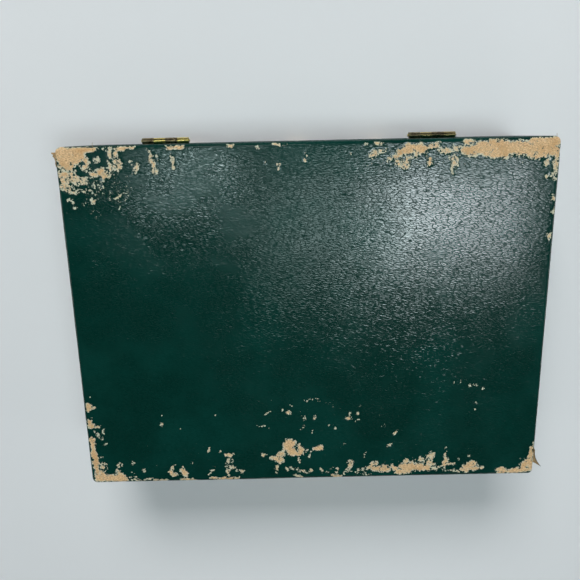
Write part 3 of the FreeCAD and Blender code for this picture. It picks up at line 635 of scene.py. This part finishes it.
def felt():
    """Green felt: matted fibres with worn, paler patches."""
    n = Nodes("felt")
    fibres = n.noise(1600, 6, 0.8, None, 1.5)
    mats = n.noise(260, 4, 0.7)
    colour = n.blend(n.ramp(fibres, 0.3, 0.7), (0.010, 0.045, 0.026), (0.030, 0.110, 0.062))
    colour = n.blend(n.ramp(mats, 0.5, 0.75, 0.0, 0.4), colour, (0.06, 0.15, 0.09))
    colour = n.blend(n.ramp(n.noise(18, 3), 0.55, 0.75, 0.0, 0.35), colour, (0.09, 0.13, 0.075))
    height = n.math("ADD", fibres, n.math("MULTIPLY", mats, 0.7))
    n.shader.inputs["Sheen Weight"].default_value = 0.12
    n.shader.inputs["Sheen Roughness"].default_value = 0.6
    return n.set(Base_Color=colour, Roughness=0.95, Normal=n.bump(height, 0.0003, 0.8))


def pale_ground():
    """The plain pale surface that the box stands on."""
    n = Nodes("pale_ground")
    colour = n.blend(n.noise(3, 3, 0.5), (0.70, 0.715, 0.73), (0.76, 0.775, 0.785))
    return n.set(Base_Color=colour, Roughness=0.75, Normal=n.bump(n.noise(260, 3, 0.5), 0.0002, 0.15))


# ---------------------------------------------------------------- pieces
def make_coverings(material):
    """The lid's and the base's coverings, which stand for the plain CAD skins."""
    reach_x, reach_y = HALF_X - EDGE, HALF_Y - EDGE
    front, rear = FRONT_BAND - reach_y, reach_y - REAR_BAND
    across = grid_lines((-reach_x, reach_x, FINE_STEP))
    along = grid_lines((-reach_y, front, FINE_STEP), (front, rear, COARSE_STEP), (rear, reach_y, FINE_STEP))
    lid_sheet = shell_mesh("lid_cover_sheet", TOP_Z, LID_LOW.z, across, along, lid_wear)
    lid = add_object("lid_cover_sheet", lid_sheet, material)
    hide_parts("lid_covering")
    under_x, under_y = (grid_lines((-reach, reach, UNDER_STEP)) for reach in (reach_x, reach_y))
    base_sheet = shell_mesh("base_cover_sheet", FLOOR_Z, BASE_HIGH.z, under_x, under_y, base_wear)
    base = add_object("base_cover_sheet", base_sheet, material)
    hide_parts("base_covering", "base_underside_covering")
    for piece, body in ((lid, "lid"), (base, "base")):
        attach(piece, body)


def strip_box(work, x, y, z):
    """Adds a thin box to a bmesh, from the low and high end of each of its sides."""
    for vert in bmesh.ops.create_cube(work, size=1.0)["verts"]:
        for axis, (low, high) in enumerate((x, y, z)):
            vert.co[axis] = low if vert.co[axis] < 0 else high


def make_rim_strip(name, body, rim_z, way, material, wear_seed):
    """The covering folded in over a rim, in strips that leave the hinge leaves bare."""
    leaf_gap, seam, long_edge, cuts = 0.3 * MM, 0.05 * MM, 20 * MM, 60
    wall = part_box("base_back_wall")
    inner_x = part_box("base_right_wall")[0].x
    inner_y = wall[0].y
    outer_x, outer_y = HALF_X - CLOTH, HALF_Y - CLOTH
    z = sorted((rim_z, rim_z + way * CLOTH_EDGE * 0.9))
    mouths = []
    for side in ("left", "right"):
        low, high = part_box("hinge_leaf_base_" + side)
        mouths.append((low.x - leaf_gap, high.x + leaf_gap))
    leaf_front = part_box("hinge_leaf_base_left")[0].y - leaf_gap
    work = bmesh.new()
    strip_box(work, (-outer_x, outer_x), (-outer_y, -inner_y), z)
    strip_box(work, (-outer_x, -inner_x), (-inner_y + seam, inner_y - seam), z)
    strip_box(work, (inner_x, outer_x), (-inner_y + seam, inner_y - seam), z)
    strip_box(work, (-outer_x, outer_x), (inner_y, leaf_front), z)
    ends = [-outer_x] + [value for mouth in mouths for value in mouth] + [outer_x]
    for start, end in zip(ends[::2], ends[1::2]):
        strip_box(work, (start, end), (leaf_front + seam, outer_y), z)
    long_edges = [edge for edge in work.edges if edge.calc_length() > long_edge]
    bmesh.ops.subdivide_edges(work, edges=long_edges, cuts=cuts, use_grid_fill=True)
    mesh = bpy.data.meshes.new(name)
    work.to_mesh(mesh)
    work.free()
    points = np.array([v.co for v in mesh.vertices])
    outside = np.maximum(np.abs(points[:, 0]) - outer_x, np.abs(points[:, 1]) - outer_y)
    patches = ramp(0.45, 0.75, layered_noise(points, 20 * MM, wear_seed))
    set_wear(mesh, 0.55 * patches * ramp(-4 * MM, 0, outside))
    piece = add_object(name, mesh, material)
    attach(piece, body)


def make_flap(name, body, root, tips, curl, hook, outside, inside):
    """A torn, curling flap of covering: from a root line to a hooked, ragged tip line, bent towards curl."""
    rows, columns = 9, 13
    thickness, fray = 0.28 * MM, 0.22 * MM
    rng = np.random.default_rng(len(name))
    ragged = rng.normal(0, fray, columns)
    (root_a, root_b), (tip_a, tip_b) = [[Vector(p) * MM for p in ends] for ends in (root, tips)]
    bend = Vector(curl) * MM
    middle = []
    for i in range(rows):
        t = i / (rows - 1)
        for j in range(columns):
            s = j / (columns - 1)
            start = root_a.lerp(root_b, s)
            end = tip_a.lerp(tip_b, s) - Vector(hook) * MM * s * (1 - s)
            point = start.lerp(end, t) + bend * (t * t) + (end - start).normalized() * float(ragged[j]) * t
            middle.append(point)
    across = (root_b - root_a).cross(tip_a - root_a + bend).normalized() * (thickness / 2)
    verts = [p + across for p in middle] + [p - across for p in middle]
    count = rows * columns
    faces, inner = [], set()
    for i in range(rows - 1):
        for j in range(columns - 1):
            a = i * columns + j
            quad = (a, a + 1, a + columns + 1, a + columns)
            inner.add(len(faces))
            faces.append(quad)
            faces.append(tuple(count + v for v in reversed(quad)))
    loop = list(range(columns)) + [i * columns + columns - 1 for i in range(1, rows)]
    loop += [(rows - 1) * columns + j for j in range(columns - 2, -1, -1)]
    loop += [i * columns for i in range(rows - 2, 0, -1)]
    for a, b in zip(loop, loop[1:] + loop[:1]):
        faces.append((b, a, count + a, count + b))
    mesh = bpy.data.meshes.new(name)
    mesh.from_pydata([tuple(v) for v in verts], [], faces)
    mesh.attributes.new("wear", "FLOAT", "POINT")
    piece = add_object(name, mesh, outside)
    mesh.materials.append(inside)
    for polygon in mesh.polygons:
        polygon.use_smooth = True
        polygon.material_index = 0 if polygon.index in inner else 1
    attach(piece, body)


def make_fibre(name, body, points, material):
    """One loose fibre of the worn edge, through points in millimetres."""
    radius = 0.09 * MM
    curve = bpy.data.curves.new(name, "CURVE")
    curve.dimensions = "3D"
    curve.bevel_depth = radius
    curve.use_fill_caps = True
    spline = curve.splines.new("NURBS")
    spline.points.add(len(points) - 1)
    for target, point in zip(spline.points, points):
        target.co = (*(value * MM for value in point), 1.0)
    spline.order_u = 3
    spline.use_endpoint_u = True
    curve.materials.append(material)
    piece = bpy.data.objects.new(name, curve)
    bpy.context.scene.collection.objects.link(piece)
    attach(piece, body)


def finish_nodes(materials):
    """Gives every shown CAD node the material of its slot."""
    slots = {part["node"]: part["material_slot"] for part in frame["record"]["subparts"]}
    for name, node in frame["nodes"].items():
        chosen = materials.get(name) or materials[slots[name]]
        node.data.materials.clear()
        node.data.materials.append(chosen)


def make_stage():
    """A wide round ground, just under the box."""
    mesh = bpy.data.meshes.new("ground")
    radius, corners, gap = 4.0, 128, 0.05 * MM
    turns = [2 * math.pi * i / corners for i in range(corners)]
    mesh.from_pydata([(radius * math.cos(turn), radius * math.sin(turn), 0) for turn in turns], [],
                     [tuple(range(corners))])
    ground = add_object("ground", mesh, pale_ground())
    ground.location.z = FLOOR_Z - gap


def area_light(name, place, aim, size, power, colour=(1, 1, 1)):
    """A soft lamp whose first side stays level with the world's X axis."""
    lamp = bpy.data.lights.new(name, "AREA")
    lamp.shape = "RECTANGLE"
    lamp.size, lamp.size_y = size
    lamp.energy = power
    lamp.color = colour
    light = bpy.data.objects.new(name, lamp)
    light.location = place
    back = (Vector(place) - Vector(aim)).normalized()
    side = (Vector((1, 0, 0)) - back * back.x).normalized()
    light.rotation_mode = "QUATERNION"
    light.rotation_quaternion = Matrix((side, back.cross(side), back)).transposed().to_quaternion()
    bpy.context.scene.collection.objects.link(light)
    return light


def make_lights():
    """Three soft lamps whose reflections lie on the rear half of the lid, and soft ones from every side."""
    bluish, greenish = (0.86, 0.965, 1.0), (0.76, 0.98, 0.97)
    reach = 1.5
    # Each lamp's name, the spot on the lid that mirrors it, its direction from there, size, power and colour.
    glares = (
        ("window", (0.073, 0.057), (0.254, -0.114, 0.960), (0.42, 0.28), 4.4, bluish),
        ("curtain", (0.026, 0.042), (0.094, -0.123, 0.988), (0.48, 0.26), 1.85, greenish),
        ("far_window", (-0.064, 0.088), (-0.153, -0.035, 0.988), (0.28, 0.08), 1.3, greenish),
    )
    for name, (x, y), way, size, power, colour in glares:
        spot = Vector((x, y, TOP_Z))
        area_light(name, spot + reach * Vector(way), spot, size, power, colour)
    ceiling = area_light("ceiling", (-0.25, 1.8, 1.5), (0, 0, 0), (1.1, 0.8), 40)
    ceiling.visible_glossy = False
    area_light("overhead", (-0.15, 0.55, 1.5), (0, 0.09, TOP_Z), (0.5, 0.25), 1.5)
    middle = (0, 0, 0.03)
    area_light("front_fill", (0.9, -3.4, 1.0), middle, (2.4, 0.9), 15)
    area_light("right_fill", (3.4, -0.5, 1.0), middle, (1.5, 0.9), 12)
    area_light("left_fill", (-3.4, -0.5, 1.0), middle, (1.5, 0.9), 12)
    make_sky()


def make_sky():
    """A nearly dark studio with a pale band along the horizon."""
    world = bpy.data.worlds.new("world")
    world.use_nodes = True
    nodes, links = world.node_tree.nodes, world.node_tree.links
    split = nodes.new("ShaderNodeSeparateXYZ")
    links.new(nodes.new("ShaderNodeTexCoord").outputs["Generated"], split.inputs[0])
    band = nodes.new("ShaderNodeMapRange")
    band.interpolation_type = "SMOOTHSTEP"
    links.new(split.outputs["Z"], band.inputs["Value"])
    for name, value in (("From Min", 0.02), ("From Max", 0.40), ("To Min", 0.50), ("To Max", 0.025)):
        band.inputs[name].default_value = value
    background = nodes["Background"]
    background.inputs["Color"].default_value = (0.86, 0.92, 1.0, 1.0)
    links.new(band.outputs["Result"], background.inputs["Strength"])
    bpy.context.scene.world = world


def make_camera():
    """Nearly square on to the lid, from above its hinge edge, tilted to the front and turned a little."""
    data = bpy.data.cameras.new("camera")
    data.sensor_width = 36.0
    data.lens = 37.24
    camera = bpy.data.objects.new("camera", data)
    camera.location = (-0.01023, 0.09733, 0.37211)
    pitch, yaw, roll = (math.radians(angle) for angle in (-14.41, 0.06, -1.28))
    turn = Euler((0, yaw, 0)).to_matrix() @ Euler((pitch, 0, 0)).to_matrix() @ Euler((0, 0, roll)).to_matrix()
    camera.rotation_mode = "QUATERNION"
    camera.rotation_quaternion = turn.to_quaternion()
    data.clip_start = 0.01
    bpy.context.scene.collection.objects.link(camera)
    bpy.context.scene.camera = camera


# ---------------------------------------------------------------- the scene
leatherette = worn_leatherette()
backing = torn_backing_painted_shade()
make_coverings(leatherette)
make_rim_strip("lid_rim_fold", "lid", LID_LOW.z, -1, leatherette, 61)
make_rim_strip("base_rim_fold", "base", BASE_HIGH.z, 1, leatherette, 67)
make_flap("peeled_flap_front_right", "lid", ((126.3, -77.0, 63.2), (126.2, -87.0, 62.9)),
          ((126.8, -79.0, 63.4), (131.5, -89.8, 62.4)), (0.1, -0.3, 0.9), (4.6, 1.0, 0), backing, leatherette)
make_flap("peeled_flap_rear_left", "lid", ((-126.4, 91.8, 62.9), (-126.8, 84.0, 62.7)),
          ((-128.5, 91.6, 63.0), (-127.0, 84.2, 62.7)), (-0.1, 0.2, 0.3), (-1.5, 0, 0), backing, backing)
make_fibre("fibre_rear_left", "lid",
           [(-107.5, 93.8, 63.6), (-107.8, 95.0, 63.9), (-107.3, 96.2, 64.1)], backing)
make_fibre("fibre_rear_right", "lid",
           [(124.2, 93.4, 63.4), (124.5, 94.6, 63.8), (124.2, 95.8, 63.6)], backing)
finish_nodes({
    "hinge_brass": aged_brass("hinge_brass", (0.78, 0.62, 0.20), (0.22, 0.15, 0.06), 0.7),
    "hinge_leaf_lid_left": aged_brass("dull_brass", (0.36, 0.29, 0.16), (0.10, 0.075, 0.045), 0.25),
    "hinge_leaf_lid_right": bpy.data.materials["dull_brass"],
    "hinge_leaf_base_right": aged_brass("tarnished_brass", (0.52, 0.42, 0.19), (0.16, 0.115, 0.055), 0.5),
    "lock_brass": aged_brass("lock_brass", (0.72, 0.55, 0.22), (0.20, 0.14, 0.06), 0.6),
    "lock_steel": filed_steel(),
    "carcass_wood": wood("carcass_wood", (0.60, 0.44, 0.26), (0.42, 0.27, 0.13)),
    "tray_wood": wood("tray_wood", (0.50, 0.33, 0.17), (0.30, 0.17, 0.07)),
    "lining_paper": lining_paper(),
    "lining_felt": felt(),
    "green_leatherette": leatherette,
})
make_stage()
make_lights()
make_camera()
view = bpy.context.scene.view_settings
view.view_transform = "Standard"
view.look = "None"
